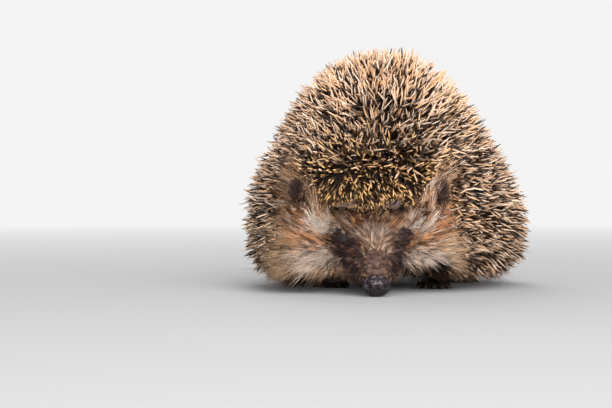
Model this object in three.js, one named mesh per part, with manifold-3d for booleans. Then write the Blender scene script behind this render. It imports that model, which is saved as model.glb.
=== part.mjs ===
// A European hedgehog crouching with its nose to the ground, as a life-size still model.
// Millimetres. +Z is up, the animal faces -Y and its rump is at +Y. The origin is on the
// ground under the middle of the animal. Every outline runs out to the tips of the coat.
import * as THREE from "three";
import { mergeVertices } from "three/addons/utils/BufferGeometryUtils.js";
import Module from "manifold-3d";

const wasm = await Module();
wasm.setup();

// ---------------------------------------------------------------- driving dimensions
const SEAM = 0.35; // the gap of a cut between two neighbouring pieces
const HEM = 1; // the coat's fringe ends this far above the ground

// The back: one high dome over the shoulders that melts into wide, low haunches.
const DOME = { centre: [-4, 4, 36], radii: [65, 71, 91] };
const HAUNCHES = { centre: [2.5, 17, 31], radii: [71.5, 71, 56] };
const SHOULDERS = { centre: [-13, -19, 34], radii: [60, 41, 50] };
const BACK_BLEND = 18;

// The head has a frame of its own: x to the animal's left, y towards the neck, z up.
const HEAD = { pivot: [-8.1, -41.3], turn: 13 };
const SKULL = { centre: [0, -4, 27], radii: [40, 22, 26] };
const CHEEK = { centre: [30, -6, 19], radii: [25, 21, 25] };
const CROWN = { centre: [0, -4, 60], radii: [42, 28, 21] };
const MUZZLE = { root: [0, -8, 26], rootRadius: 24, bridge: [0, -27, 19.5], bridgeRadius: 16.5 };
const SNOUT = { tip: [0, -38.5, 11.4], tipRadius: 9.8 };
const HEAD_BLEND = 9;
const MANTLE_BLEND = 4; // tight, so that the coat of spines hangs over the face as a fold
const TUCK = { centre: [34, -60, 0], radii: [18, 17, 10] }; // the hollow beside the left cheek
const EYE = { apart: 16.5, level: 29.5, radius: 2.9, sunk: 1.6 };
const SOCKET = { centre: [19, -37, 30], radii: [6.5, 8, 5.5], blend: 4 };
const NOSE = { centre: [0, -46.3, 5.4], radii: [7, 5.8, 5.7] };
const NOSTRIL = { centre: [4.6, -50.4, 5.6], radius: 1.5, blend: 1.2 };
const EAR = {
  centre: [36.5, -18, 51], width: 8.5, height: 13, thickness: 2,
  cup: 2.2, tipCup: 0.8, lean: 8, open: 36, // cup is how far the rim bends forwards, at the sides and tip
};
const EAR_HOLLOW = { offset: [4, -9, -1], radii: [9, 12, 15], blend: 6 };

// The head, and a collar behind it, are parted from the trunk by two nested shells.
const HEAD_SHELL = { centre: [0, -20, 24], radii: [64, 44, 47] };
const COLLAR_WIDTH = 9;

// Legs: a short thick limb under the belly and a foot with five toes. The palm's numbers are
// its half width, half length and half height, and out and fan are angles in degrees. The
// palm's middle and the toes' roots are shares of its half length ahead of the ankle.
const BELLY = { centre: [0, 3, 0], radii: [57, 68, 13] };
const FORE = {
  hip: [24, -10, 24], ankle: [25, -17, 8], thigh: 11, shin: 5.5,
  palm: [6.5, 7.5, 3.4], toe: 6.5, out: 8,
};
const HIND = {
  hip: [33, 34, 26], ankle: [33, 38, 8], thigh: 13, shin: 5.5,
  palm: [6.5, 11, 3.4], toe: 7.5, out: 12,
};
const PALM = { ahead: 0.4, raised: 0.7, toes: 0.85 }; // raised is a share of its half height
const TOES = { count: 5, fan: 17, rootRadius: 2.3, tipRadius: 1.9, level: 2 };
const CLAW = { length: 4.6, radius: 1.1, point: 0.5 };
const TAIL = { root: [6, 78, 15], tip: [7, 90, 7], rootRadius: 5, tipRadius: 1.8 };

// How finely each surface is divided: vertices round it, then rings along it.
const FINE = {
  body: [49, 32], shell: [22, 14], belly: [20, 10], nose: [16, 12], eye: [10, 8], ear: [14, 9],
  limb: [8, 6], palm: [8, 6], toe: [5, 4], claw: [4, 3], tail: [8, 6],
};
const FACE_CROWDING = 1.15; // draws the body's rings together on the face
const SEARCH_STEP = 0.1; // how finely the coat's outline is looked for from the front
const STRIDE = 1; // how far each step inwards goes when an outline is looked for from outside
const HALVINGS = 20; // how often a vertex's place on an outline is halved in on
const WELD = 1e-3; // vertices closer than this are one
const TINY = 1e-9;

// ---------------------------------------------------------------- fields
// A field is negative inside a shape and roughly a distance in millimetres outside it.
const length3 = (x, y, z) => Math.hypot(x, y, z);
const radians = THREE.MathUtils.degToRad;

function ellipsoid(p, { centre, radii }) {
  const d = p.map((v, i) => v - centre[i]);
  const near = length3(...d.map((v, i) => v / radii[i]));
  const slope = length3(...d.map((v, i) => v / radii[i] ** 2));
  return slope < TINY ? -Math.min(...radii) : (near * (near - 1)) / slope;
}

// A limb that tapers from one ball to another.
function taper(p, a, ra, b, rb) {
  const along = b.map((v, i) => v - a[i]);
  const whole = along.reduce((s, v) => s + v * v, 0);
  const t = THREE.MathUtils.clamp(p.reduce((s, v, i) => s + (v - a[i]) * along[i], 0) / whole, 0, 1);
  return length3(...p.map((v, i) => v - a[i] - along[i] * t)) - (ra + (rb - ra) * t);
}

function blend(a, b, k) {
  const h = Math.max(k - Math.abs(a - b), 0) / k;
  return Math.min(a, b) - (h * h * k) / 4;
}

const carve = (a, b, k) => -blend(-a, b, k); // a with b taken away, softly

// A point of the model in the head's own frame.
function toHead([x, y, z]) {
  const c = Math.cos(radians(HEAD.turn)), s = Math.sin(radians(HEAD.turn));
  const dx = x - HEAD.pivot[0], dy = y - HEAD.pivot[1];
  return [dx * c + dy * s, -dx * s + dy * c, z];
}

function fromHead([x, y, z]) {
  const c = Math.cos(radians(HEAD.turn)), s = Math.sin(radians(HEAD.turn));
  return [HEAD.pivot[0] + x * c - y * s, HEAD.pivot[1] + x * s + y * c, z];
}

function backField(p) {
  const upper = blend(ellipsoid(p, DOME), ellipsoid(p, HAUNCHES), BACK_BLEND);
  return blend(upper, ellipsoid(p, SHOULDERS), BACK_BLEND);
}

// The skull, cheeks and muzzle, without the crown of spines.
function faceField(q) {
  const folded = [Math.abs(q[0]), q[1], q[2]];
  let d = blend(ellipsoid(q, SKULL), ellipsoid(folded, CHEEK), HEAD_BLEND);
  d = blend(d, taper(q, MUZZLE.root, MUZZLE.rootRadius, MUZZLE.bridge, MUZZLE.bridgeRadius), HEAD_BLEND);
  return blend(d, taper(q, MUZZLE.bridge, MUZZLE.bridgeRadius, SNOUT.tip, SNOUT.tipRadius), MANTLE_BLEND);
}

function bodyField(p) {
  const q = toHead(p);
  const folded = [Math.abs(q[0]), q[1], q[2]];
  const hollow = { centre: EAR.centre.map((v, i) => v + EAR_HOLLOW.offset[i]), radii: EAR_HOLLOW.radii };
  const mantle = blend(backField(p), ellipsoid(q, CROWN), BACK_BLEND);
  const face = carve(faceField(q), ellipsoid(folded, SOCKET), SOCKET.blend);
  let d = blend(mantle, face, MANTLE_BLEND);
  d = carve(d, ellipsoid(p, TUCK), HEAD_BLEND);
  return carve(d, ellipsoid(folded, hollow), EAR_HOLLOW.blend);
}

// ---------------------------------------------------------------- geometry helpers
// Draws a sphere's vertices in, along their own rays, onto the outside of a field. Crowding
// above 1 draws its rings towards the pole.
function wrap(field, { centre, reach, fine, pole, crowding = 1 }) {
  const sphere = new THREE.SphereGeometry(1, ...fine);
  const turn = new THREE.Quaternion().setFromUnitVectors(
    new THREE.Vector3(0, 1, 0),
    new THREE.Vector3(...pole).normalize(),
  );
  const place = sphere.getAttribute("position");
  const ray = new THREE.Vector3();
  const at = (r) => [centre[0] + ray.x * r, centre[1] + ray.y * r, centre[2] + ray.z * r];
  for (let i = 0; i < place.count; i++) {
    ray.fromBufferAttribute(place, i);
    const fromPole = Math.acos(THREE.MathUtils.clamp(ray.y, -1, 1));
    const crowded = Math.PI * (fromPole / Math.PI) ** crowding;
    const spin = Math.atan2(ray.z, ray.x);
    const across = Math.sin(crowded);
    ray.set(across * Math.cos(spin), Math.cos(crowded), across * Math.sin(spin)).applyQuaternion(turn);
    let outside = reach;
    while (outside > STRIDE && field(at(outside)) > 0) outside -= STRIDE;
    let inside = outside;
    outside += STRIDE;
    for (let step = 0; step < HALVINGS; step++) {
      const middle = (inside + outside) / 2;
      if (field(at(middle)) > 0) outside = middle;
      else inside = middle;
    }
    place.setXYZ(i, ...at(inside));
  }
  return sphere;
}

function solid(geometry) {
  const bare = geometry.clone();
  bare.deleteAttribute("normal");
  bare.deleteAttribute("uv");
  const merged = mergeVertices(bare, WELD);
  return new wasm.Manifold(
    new wasm.Mesh({
      numProp: 3,
      vertProperties: merged.getAttribute("position").array,
      triVerts: new Uint32Array(merged.index.array),
    }),
  );
}

function geometryOf(manifold) {
  const mesh = manifold.getMesh();
  const made = new THREE.BufferGeometry();
  const places = Float32Array.from(mesh.vertProperties);
  made.setAttribute("position", new THREE.BufferAttribute(places, mesh.numProp));
  made.setIndex(new THREE.BufferAttribute(Uint32Array.from(mesh.triVerts), 1));
  const faceted = made.toNonIndexed();
  faceted.computeVertexNormals();
  return faceted;
}

// Turns a geometry that was made in the head's frame into the model's.
function placeHead(geometry) {
  geometry.rotateZ(radians(HEAD.turn));
  geometry.translate(HEAD.pivot[0], HEAD.pivot[1], 0);
  return geometry;
}

function ball({ centre, radii }, margin, fine) {
  const made = new THREE.SphereGeometry(1, ...fine);
  made.rotateX(Math.PI / 2);
  made.scale(...radii.map((r) => r + margin));
  made.translate(...centre);
  return made;
}

const mirror = ([x, y, z], side) => [side * x, y, z];

// All that is below a level.
function ground(level) {
  const side = 400;
  const box = new THREE.BoxGeometry(side, side, side);
  box.translate(0, 0, level - side / 2);
  return solid(box);
}

// What a cut leaves of a piece, without the crumbs.
function largest(manifold) {
  const pieces = manifold.decompose();
  return pieces.reduce((best, piece) => (piece.volume() > best.volume() ? piece : best));
}

// ---------------------------------------------------------------- the coat's outline
const MIDDLE = { centre: [0, 0, 34], reach: 150, pole: [0.02, -0.93, -0.27] }; // the pole is the muzzle

function wholeBody(margin = 0) {
  const field = (p) => bodyField(p) - margin;
  const outline = solid(wrap(field, { ...MIDDLE, fine: FINE.body, crowding: FACE_CROWDING }));
  return outline.subtract(solid(ball(BELLY, -margin, FINE.belly))).subtract(ground(HEM - margin));
}

// ---------------------------------------------------------------- nose, eyes and ears
function noseSolid(margin = 0) {
  const shape = (q) => {
    const folded = [Math.abs(q[0]), q[1], q[2]];
    const nostril = length3(...folded.map((v, i) => v - NOSTRIL.centre[i])) - NOSTRIL.radius;
    const bulb = ellipsoid(q, NOSE) - margin;
    const open = margin > 0 ? bulb : carve(bulb, nostril, NOSTRIL.blend);
    return Math.max(open, -margin - q[2]);
  };
  const reach = 2 * Math.max(...NOSE.radii);
  return solid(placeHead(wrap(shape, { centre: NOSE.centre, reach, fine: FINE.nose, pole: [0, -1, 0] })));
}

// An eyeball sits with its middle just under the coat's outline in the socket.
function eyeSolid(side, margin = 0) {
  const outline = (y) => bodyField(fromHead([side * EYE.apart, y, EYE.level]));
  let front = NOSE.centre[1];
  while (outline(front) > 0) front += SEARCH_STEP;
  const made = new THREE.SphereGeometry(EYE.radius + margin, ...FINE.eye);
  made.translate(side * EYE.apart, front + EYE.sunk, EYE.level);
  return solid(placeHead(made));
}

// An ear is a cupped leaf whose rim bends forwards. It leans back and opens outwards.
function earSolid(side) {
  const leaf = new THREE.SphereGeometry(1, ...FINE.ear);
  const place = leaf.getAttribute("position");
  for (let i = 0; i < place.count; i++) {
    const [u, v, w] = [place.getX(i), place.getY(i), place.getZ(i)];
    const cup = EAR.cup * u * u + EAR.tipCup * v * v;
    place.setXYZ(i, (u * EAR.width) / 2, (-w * EAR.thickness) / 2 - cup, (v * EAR.height) / 2);
  }
  leaf.rotateX(radians(-EAR.lean));
  leaf.rotateZ(radians(side * EAR.open));
  leaf.translate(...mirror(EAR.centre, side));
  return solid(placeHead(leaf));
}

// ---------------------------------------------------------------- legs and tail
function limb(a, ra, b, rb, fine) {
  const centre = a.map((v, i) => (v + b[i]) / 2);
  const pole = b.map((v, i) => v - a[i]);
  const reach = length3(...pole) + ra + rb;
  return solid(wrap((p) => taper(p, a, ra, b, rb), { centre, reach, fine, pole }));
}

function toeSolid(ahead, leg, turn) {
  const root = leg.palm[1] * PALM.toes;
  const end = root + leg.toe;
  const low = TOES.level;
  const toe = limb(ahead(root, turn, low), TOES.rootRadius, ahead(end, turn, low), TOES.tipRadius, FINE.toe);
  const tip = ahead(end + CLAW.length, turn, CLAW.radius);
  const claw = limb(ahead(end, turn, low), CLAW.radius, tip, CLAW.point, FINE.claw);
  return toe.add(claw);
}

function legSolid(leg, side) {
  const ankle = mirror(leg.ankle, side);
  const heading = radians(leg.out * side);
  const ahead = (d, turn, z) => [
    ankle[0] + Math.sin(heading + turn) * d,
    ankle[1] - Math.cos(heading + turn) * d,
    z,
  ];
  const palm = new THREE.SphereGeometry(1, ...FINE.palm);
  palm.scale(...leg.palm);
  palm.rotateZ(heading);
  palm.translate(...ahead(leg.palm[1] * PALM.ahead, 0, leg.palm[2] * PALM.raised));
  let made = limb(mirror(leg.hip, side), leg.thigh, ankle, leg.shin, FINE.limb).add(solid(palm));
  for (let i = 0; i < TOES.count; i++) {
    const turn = radians((i - (TOES.count - 1) / 2) * TOES.fan);
    made = made.add(toeSolid(ahead, leg, turn));
  }
  return made;
}

// ---------------------------------------------------------------- assembly
const COAT = { colour: 0x8a7355, roughness: 0.9 };
const FACE = { colour: 0xa48a6c, roughness: 0.9 };
const SKIN = { colour: 0x4a3a33, roughness: 0.7 };
const DARK = { colour: 0x1c1719, roughness: 0.3 };

const hedgehog = new THREE.Group();

function addNode(name, manifold, { colour, roughness }) {
  const material = new THREE.MeshStandardMaterial({ color: colour, roughness, metalness: 0 });
  const mesh = new THREE.Mesh(geometryOf(manifold), material);
  mesh.name = name;
  hedgehog.add(mesh);
}

const body = wholeBody();
const grown = wholeBody(SEAM);
const outside = (piece) => largest(piece.subtract(grown).subtract(ground(0)));

const shell = (margin) => solid(placeHead(ball(HEAD_SHELL, margin, FINE.shell)));
let head = body.intersect(shell(0)).subtract(noseSolid(SEAM));
const collar = body.intersect(shell(COLLAR_WIDTH)).subtract(shell(SEAM));
const trunk = body.subtract(shell(COLLAR_WIDTH + SEAM));

addNode("nose", noseSolid(), DARK);
for (const [word, side] of [["left", 1], ["right", -1]]) {
  head = head.subtract(eyeSolid(side, SEAM));
  addNode(`eye_${word}`, eyeSolid(side), DARK);
  addNode(`ear_${word}`, outside(earSolid(side)), SKIN);
  addNode(`foreleg_${word}`, outside(legSolid(FORE, side)), SKIN);
  addNode(`hindleg_${word}`, outside(legSolid(HIND, side)), SKIN);
}
addNode("head", largest(head), FACE);
addNode("neck", largest(collar), COAT);
addNode("trunk", largest(trunk), COAT);
addNode("tail", outside(limb(TAIL.root, TAIL.rootRadius, TAIL.tip, TAIL.tipRadius, FINE.tail)), SKIN);

export default hedgehog;
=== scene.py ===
"""A life-size still model of a European hedgehog that crouches with its nose to the ground.

Lengths are in millimetres in the part's own frame until a mesh is made: +X is the animal's
left, -Y the way it faces and +Z up. The head has a frame of its own, turned about a pivot at
the neck. Below, p is a place in the part's frame, q is the same place in the head's frame, and
m is that place folded onto the side of positive x, where what is paired is drawn once.
"""

import math

import bpy
import numpy as np
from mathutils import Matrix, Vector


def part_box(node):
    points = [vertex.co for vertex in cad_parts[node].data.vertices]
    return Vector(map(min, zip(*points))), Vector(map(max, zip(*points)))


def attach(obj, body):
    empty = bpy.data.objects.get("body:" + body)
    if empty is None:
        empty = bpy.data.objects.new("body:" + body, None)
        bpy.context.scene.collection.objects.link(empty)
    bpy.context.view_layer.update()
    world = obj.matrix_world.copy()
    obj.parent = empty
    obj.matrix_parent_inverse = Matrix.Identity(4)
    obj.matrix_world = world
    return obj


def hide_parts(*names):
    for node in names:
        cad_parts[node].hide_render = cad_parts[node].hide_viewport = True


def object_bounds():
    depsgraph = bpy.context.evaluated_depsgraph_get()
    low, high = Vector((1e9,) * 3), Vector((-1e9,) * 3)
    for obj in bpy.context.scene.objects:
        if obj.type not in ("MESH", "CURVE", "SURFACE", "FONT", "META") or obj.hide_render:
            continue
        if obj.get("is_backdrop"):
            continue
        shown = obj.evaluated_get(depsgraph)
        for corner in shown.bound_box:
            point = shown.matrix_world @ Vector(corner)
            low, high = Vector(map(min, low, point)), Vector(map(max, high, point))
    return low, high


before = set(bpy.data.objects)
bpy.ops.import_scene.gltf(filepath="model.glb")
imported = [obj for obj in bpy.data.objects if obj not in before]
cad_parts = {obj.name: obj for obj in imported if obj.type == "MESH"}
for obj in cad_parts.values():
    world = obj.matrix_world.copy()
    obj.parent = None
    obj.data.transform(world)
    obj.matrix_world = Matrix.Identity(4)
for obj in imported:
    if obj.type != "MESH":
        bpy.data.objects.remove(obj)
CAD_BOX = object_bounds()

import openvdb
from mathutils import Vector, kdtree

MM = 0.001
TINY = 1e-6
SEED = 11

# ------------ the coat's outline
# An ellipsoid is (centre, radii). Those of the head itself are in the head's frame.
DOME = ((-4, 4, 36), (65, 71, 91))
HAUNCHES = ((2.5, 17, 31), (71.5, 71, 56))
SHOULDERS = ((-13, -19, 34), (60, 41, 50))
BACK_BLEND = 18
HEAD_PIVOT = np.array((-8.1, -41.3, 0.0))
HEAD_TURN = math.radians(13)
SKULL = ((0, -4, 27), (40, 22, 26))
CHEEK = ((30, -6, 19), (25, 21, 25))
CROWN = ((0, -4, 60), (42, 28, 21))
MUZZLE_ROOT, MUZZLE_ROOT_RADIUS = (0, -8, 26), 24
BRIDGE, BRIDGE_RADIUS = (0, -27, 19.5), 16.5
SNOUT, SNOUT_RADIUS = (0, -38.5, 11.4), 9.8
HEAD_BLEND = 9
MANTLE_BLEND = 4
TUCK = ((34, -60, 0), (18, 17, 10))
SOCKET, SOCKET_BLEND = ((19, -37, 30), (6.5, 8, 5.5)), 4
EAR_HOLLOW, EAR_HOLLOW_BLEND = ((40.5, -27, 50), (9, 12, 15)), 6
BELLY = ((0, 3, 0), (57, 68, 13))

# ------------ the skin under it
SPINE_DEPTH = 14
BROW = ((0, -5, 57), (36, 20.5, 14))
BROW_BLEND = 2
SKULL_DEPTH, CHEEK_DEPTH = 4.5, 7
MUZZLE_DEPTH, BRIDGE_DEPTH, SNOUT_DEPTH = 3, 1.6, 0.7
TUCK_DEPTH = 4
CHIN_GAP, FLOOR_GAP, FLOOR_ROUNDING = 2.5, 8, 8
BELLY_DEPTH = 4
EYELID_RADIUS, EYELID_BLEND = 3.6, 7
EYEBALL_GAP = 0.15
EYE_SOCKET_RIM, EYE_SLIT_RIM = 0.3, 0.5
EYE_FINE = 16
FOLD_DEPTH, FOLD_SIZE = 1.1, 2.4
BARE_BRIDGE, BARE_RADII = (0, -46, 16), (9, 9, 7)
BROW_LINE = (0, 10, 20, 26), (41.2, 41.5, 42.0, 44)
BROW_FOLD_DEPTH = 2.0
EYE_AIM = (0.52, -0.85, 0.05)
EYE_SLIT = (2.9, 2.4, 0.32)
EYE_SLIT_TILT = math.radians(8)
EAR = (36.5, -18, 51)
EAR_WIDTH, EAR_HEIGHT, EAR_THICKNESS = 8.5, 13, 1.0
EAR_CUP, EAR_TIP_CUP, EAR_BOWL = 2.2, 0.8, 2.8
EAR_RIPPLE, EAR_FINE = 0.25, 20
EAR_LEAN, EAR_OPEN = math.radians(8), math.radians(36)
EAR_STALK, EAR_STALK_BLEND = ((30, -10, 36), 7, (35, -15.5, 43), 4), 5
FORE = dict(hip=(24, -10, 24), ankle=(25, -17, 8), thigh=11, shin=5.5, palm=(6.5, 7.5, 3.4), toe=6.5, out=8)
HIND = dict(hip=(33, 34, 26), ankle=(33, 38, 8), thigh=13, shin=5.5, palm=(6.5, 11, 3.4), toe=7.5, out=12)
LEG_DEPTH = 2
TOES, TOE_FAN = 5, math.radians(17)
TOE_RADIUS, TOE_TIP_RADIUS, TOE_LEVEL = 2.2, 1.8, 2
CLAW_LENGTH, CLAW_RADIUS = 4.6, 1.0
TAIL_ROOT, TAIL_TIP, TAIL_RADIUS, TAIL_TIP_RADIUS = (6, 78, 15), (7, 90, 7), 4.6, 1.6
# Places in z or y that bound the legs, the tail, the face and its front.
LEG_TOP, TAIL_START = 40, 60
FACE_BACK, FACE_TOP, FACE_FRONT = 0, 66, -12
NOSE, NOSE_RADII = (0, -46.3, 5.4), (7, 5.8, 5.7)
NOSTRIL_RADIUS = 1.35

# ------------ camera
FOCAL_PX, FRAME_WIDTH, FRAME_HEIGHT, SENSOR = 1650, 612, 408, 36.0
HORIZON_PX = 180
CAMERA_AZIMUTH, CAMERA_HEIGHT, CAMERA_DISTANCE = math.radians(8), 57, 800
NOSE_RIGHT_OF_AXIS = 34.4
NOSE_ON_FLOOR = (3.1, -92, 0)


# ------------ fields
def size(v):
    return np.sqrt((v * v).sum(-1))


def unit(v):
    return v / np.maximum(size(v), TINY)[..., None]


def smooth(low, high, x):
    """A rounded ramp from 0 at low to 1 at high."""
    t = np.clip((x - low) / (high - low), 0, 1)
    return t * t * (3 - 2 * t)


def ellipsoid(p, form, depth=0.0):
    """Nearly the distance to an ellipsoid whose radii are less by depth."""
    centre, radii = form
    radii = np.array(radii, np.float32) - depth
    d = (p - np.array(centre, np.float32)) / radii
    near = size(d)
    return near * (near - 1) / np.maximum(size(d / radii), TINY)


def taper(p, a, radius_a, b, radius_b):
    """The distance to a cone with a ball at each end."""
    a, b = np.array(a, np.float32), np.array(b, np.float32)
    axis = b - a
    t = np.clip((p - a) @ axis / (axis @ axis), 0, 1)
    return size(p - a - t[..., None] * axis) - radius_a - (radius_b - radius_a) * t


def blend(a, b, width):
    """Joins two fields with a rounded seam."""
    h = np.maximum(width - np.abs(a - b), 0) / width
    return np.minimum(a, b) - h * h * width / 4


def carve(d, tool, width):
    """Cuts one field out of another with a rounded rim."""
    return -blend(-d, tool, width)


def turned(p, angle):
    c, s = math.cos(angle), math.sin(angle)
    x, y, z = p[..., 0], p[..., 1], p[..., 2]
    return np.stack((x * c - y * s, x * s + y * c, z), -1)


def to_head(p):
    return turned(p - HEAD_PIVOT.astype(p.dtype), -HEAD_TURN)


def from_head(q):
    return turned(np.asarray(q, float), HEAD_TURN) + HEAD_PIVOT


def folded(q):
    return np.concatenate((np.abs(q[..., :1]), q[..., 1:]), -1)


def to_side(p):
    return folded(to_head(p))


def back(p, depth=0.0):
    d = blend(ellipsoid(p, DOME, depth), ellipsoid(p, HAUNCHES, depth), BACK_BLEND)
    return blend(d, ellipsoid(p, SHOULDERS, depth), BACK_BLEND)


def face(m, skull=0.0, cheek=0.0, muzzle=0.0, bridge=0.0, snout=0.0):
    """The head from skull to snout, each part smaller by its own depth."""
    d = blend(ellipsoid(m, SKULL, skull), ellipsoid(m, CHEEK, cheek), HEAD_BLEND)
    root, middle, tip = MUZZLE_ROOT_RADIUS - muzzle, BRIDGE_RADIUS - bridge, SNOUT_RADIUS - snout
    d = blend(d, taper(m, MUZZLE_ROOT, root, BRIDGE, middle), HEAD_BLEND)
    return blend(d, taper(m, BRIDGE, middle, SNOUT, tip), MANTLE_BLEND)


def coat_field(p):
    """Below zero inside the outline of the whole coat, out to its tips."""
    m = to_side(p)
    mantle = blend(back(p), ellipsoid(m, CROWN), BACK_BLEND)
    d = blend(mantle, carve(face(m), ellipsoid(m, SOCKET), SOCKET_BLEND), MANTLE_BLEND)
    d = carve(d, ellipsoid(p, TUCK), HEAD_BLEND)
    d = carve(d, ellipsoid(m, EAR_HOLLOW), EAR_HOLLOW_BLEND)
    return np.maximum(d, -p[..., 2])


def eye_axes():
    """Directions across, out of and up an eye's slit."""
    aim = unit(np.array(EYE_AIM))
    across = unit(np.cross((0, 0, 1), aim))
    up = np.cross(aim, across)
    c, s = math.cos(EYE_SLIT_TILT), math.sin(EYE_SLIT_TILT)
    return np.stack((across * c - up * s, aim, up * c + across * s)).astype(np.float32)


def eye_details(m, d):
    """Adds the closing lids round an eyeball that sits loose behind their slit."""
    from_eye = m - EYE.astype(np.float32)
    ball = size(from_eye)
    d = blend(d, ball - EYELID_RADIUS, EYELID_BLEND)
    d = carve(d, ball - EYE_RADIUS - EYEBALL_GAP, EYE_SOCKET_RIM)
    slit = ((0, EYELID_RADIUS, 0), EYE_SLIT)
    return carve(d, ellipsoid(from_eye @ eye_axes().T, slit), EYE_SLIT_RIM)


def bridge_noise(q):
    """Noise whose lumps are drawn out across the bridge of the nose."""
    return noise(q * np.array((0.7, 1, 1), q.dtype), FOLD_SIZE, 60)


def wrinkles(q):
    """The creases of the bare skin across the bridge of the nose."""
    folds = 1 - 2 * np.abs(bridge_noise(q))
    return FOLD_DEPTH * folds.astype(q.dtype) * spot(q, BARE_BRIDGE, BARE_RADII, 0.3)


def under_brow(m):
    """How far a place is below the fold between the forehead and the spines."""
    return np.interp(m[..., 0], *BROW_LINE) - m[..., 2]


def brow_fold(m):
    """1 in the fold under the brow, 0 away from it."""
    near = 1 - smooth(0.3, 1.6, np.abs(under_brow(m)))
    return near * (1 - smooth(17, 23, m[..., 0])) * (m[..., 1] < FACE_FRONT)


def leg_frame(leg):
    """Points ahead of an ankle, in the direction of the foot turned by an angle."""
    ankle = np.array(leg["ankle"], float)
    heading = math.radians(leg["out"])

    def ahead(distance, turn, z):
        angle = heading + turn
        return ankle[0] + math.sin(angle) * distance, ankle[1] - math.cos(angle) * distance, z

    return ahead


def toes(leg):
    """Each toe's root, its end and the tip of its claw."""
    ahead = leg_frame(leg)
    root = 0.85 * leg["palm"][1]
    for i in range(TOES):
        turn = (i - (TOES - 1) / 2) * TOE_FAN
        end = root + leg["toe"]
        tip = end + CLAW_LENGTH
        yield ahead(root, turn, TOE_LEVEL), ahead(end, turn, TOE_LEVEL), ahead(tip, turn, CLAW_RADIUS)


def leg_field(p, leg):
    """A leg of both sides at once."""
    m = folded(p)
    d = taper(m, leg["hip"], leg["thigh"] - LEG_DEPTH, leg["ankle"], leg["shin"] - LEG_DEPTH / 2)
    ahead = leg_frame(leg)
    middle = np.array(ahead(0.4 * leg["palm"][1], 0, 0.7 * leg["palm"][2]), np.float32)
    d = blend(d, ellipsoid(turned(m - middle, -math.radians(leg["out"])), ((0, 0, 0), leg["palm"])), 3)
    for start, end, _ in toes(leg):
        d = blend(d, taper(m, start, TOE_RADIUS, end, TOE_TIP_RADIUS), 0.8)
    return d


def skin_field(p):
    """Below zero inside the skin, which lies under the coat by the coat's depth."""
    q = to_head(p)
    m = folded(q)
    mantle = blend(back(p, SPINE_DEPTH), ellipsoid(m, BROW), BACK_BLEND)
    bare = face(m, SKULL_DEPTH, CHEEK_DEPTH, MUZZLE_DEPTH, BRIDGE_DEPTH, SNOUT_DEPTH)
    d = blend(mantle, carve(bare, ellipsoid(m, SOCKET), SOCKET_BLEND), BROW_BLEND)
    d = carve(d, ellipsoid(p, TUCK, -TUCK_DEPTH), HEAD_BLEND)
    level = CHIN_GAP + (FLOOR_GAP - CHIN_GAP) * smooth(-34, -6, m[..., 1])
    d = carve(d, p[..., 2] - level, FLOOR_ROUNDING)
    d = carve(d, ellipsoid(p, BELLY, -BELLY_DEPTH), FLOOR_ROUNDING)
    low = p[..., 2] < LEG_TOP
    for leg in (FORE, HIND):
        d[low] = blend(d[low], leg_field(p[low], leg), 3)
    rear = p[..., 1] > TAIL_START
    d[rear] = blend(d[rear], taper(p[rear], TAIL_ROOT, TAIL_RADIUS, TAIL_TIP, TAIL_TIP_RADIUS), 4)
    head = (m[..., 1] < FACE_BACK) & (m[..., 2] < FACE_TOP)
    d[head] += wrinkles(q[head]) + (BROW_FOLD_DEPTH * brow_fold(m[head])).astype(d.dtype)
    d[head] = blend(eye_details(m[head], d[head]), taper(m[head], *EAR_STALK), EAR_STALK_BLEND)
    return np.maximum(d, -p[..., 2])


def slope(field, p, step=0.4):
    """The direction in which a field grows fastest at each point."""
    axes = np.eye(3, dtype=p.dtype) * step
    return unit(np.stack([field(p + a) - field(p - a) for a in axes], -1))


def noise(p, cell, seed=0):
    """Smooth noise from -1 to 1, in lumps about one cell across."""
    at = p / cell
    base = np.floor(at).astype(np.int64)
    t = at - base
    t = t * t * (3 - 2 * t)
    total = np.zeros(p.shape[:-1])
    for corner in np.ndindex(2, 2, 2):
        c = base + corner
        h = (c[..., 0] * 73856093) ^ (c[..., 1] * 19349663) ^ (c[..., 2] * 83492791) ^ (seed * 40503)
        h = (h ^ (h >> 13)) * 1274126177
        value = ((h >> 8) & 0xFFFF) / 32767.5 - 1
        weight = np.prod(np.where(corner, t, 1 - t), axis=-1)
        total += weight * value
    return total


# ------------ meshes
def new_object(name, points, faces, tint=None, patch=None):
    """A smooth-shaded mesh of triangles or quads, with a colour for each point if tint is given."""
    mesh = bpy.data.meshes.new(name)
    mesh.vertices.add(len(points))
    mesh.vertices.foreach_set("co", (points * MM).astype(np.float32).ravel())
    mesh.loops.add(faces.size)
    mesh.loops.foreach_set("vertex_index", faces.astype(np.int32).ravel())
    mesh.polygons.add(len(faces))
    mesh.polygons.foreach_set("loop_start", np.arange(0, faces.size, faces.shape[1], dtype=np.int32))
    mesh.polygons.foreach_set("use_smooth", np.ones(len(faces), bool))
    mesh.update(calc_edges=True)
    if tint is not None:
        layer = mesh.attributes.new("tint", "FLOAT_COLOR", "POINT")
        rgba = np.ones((len(points), 4), np.float32)
        rgba[:, :3] = tint
        layer.data.foreach_set("color", rgba.ravel())
    if patch is not None:
        layer = mesh.uv_layers.new(name="OFBake")
        layer.uv.foreach_set("vector", patch[faces.ravel()].astype(np.float32).ravel())
    made = bpy.data.objects.new(name, mesh)
    bpy.context.scene.collection.objects.link(made)
    return made


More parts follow.
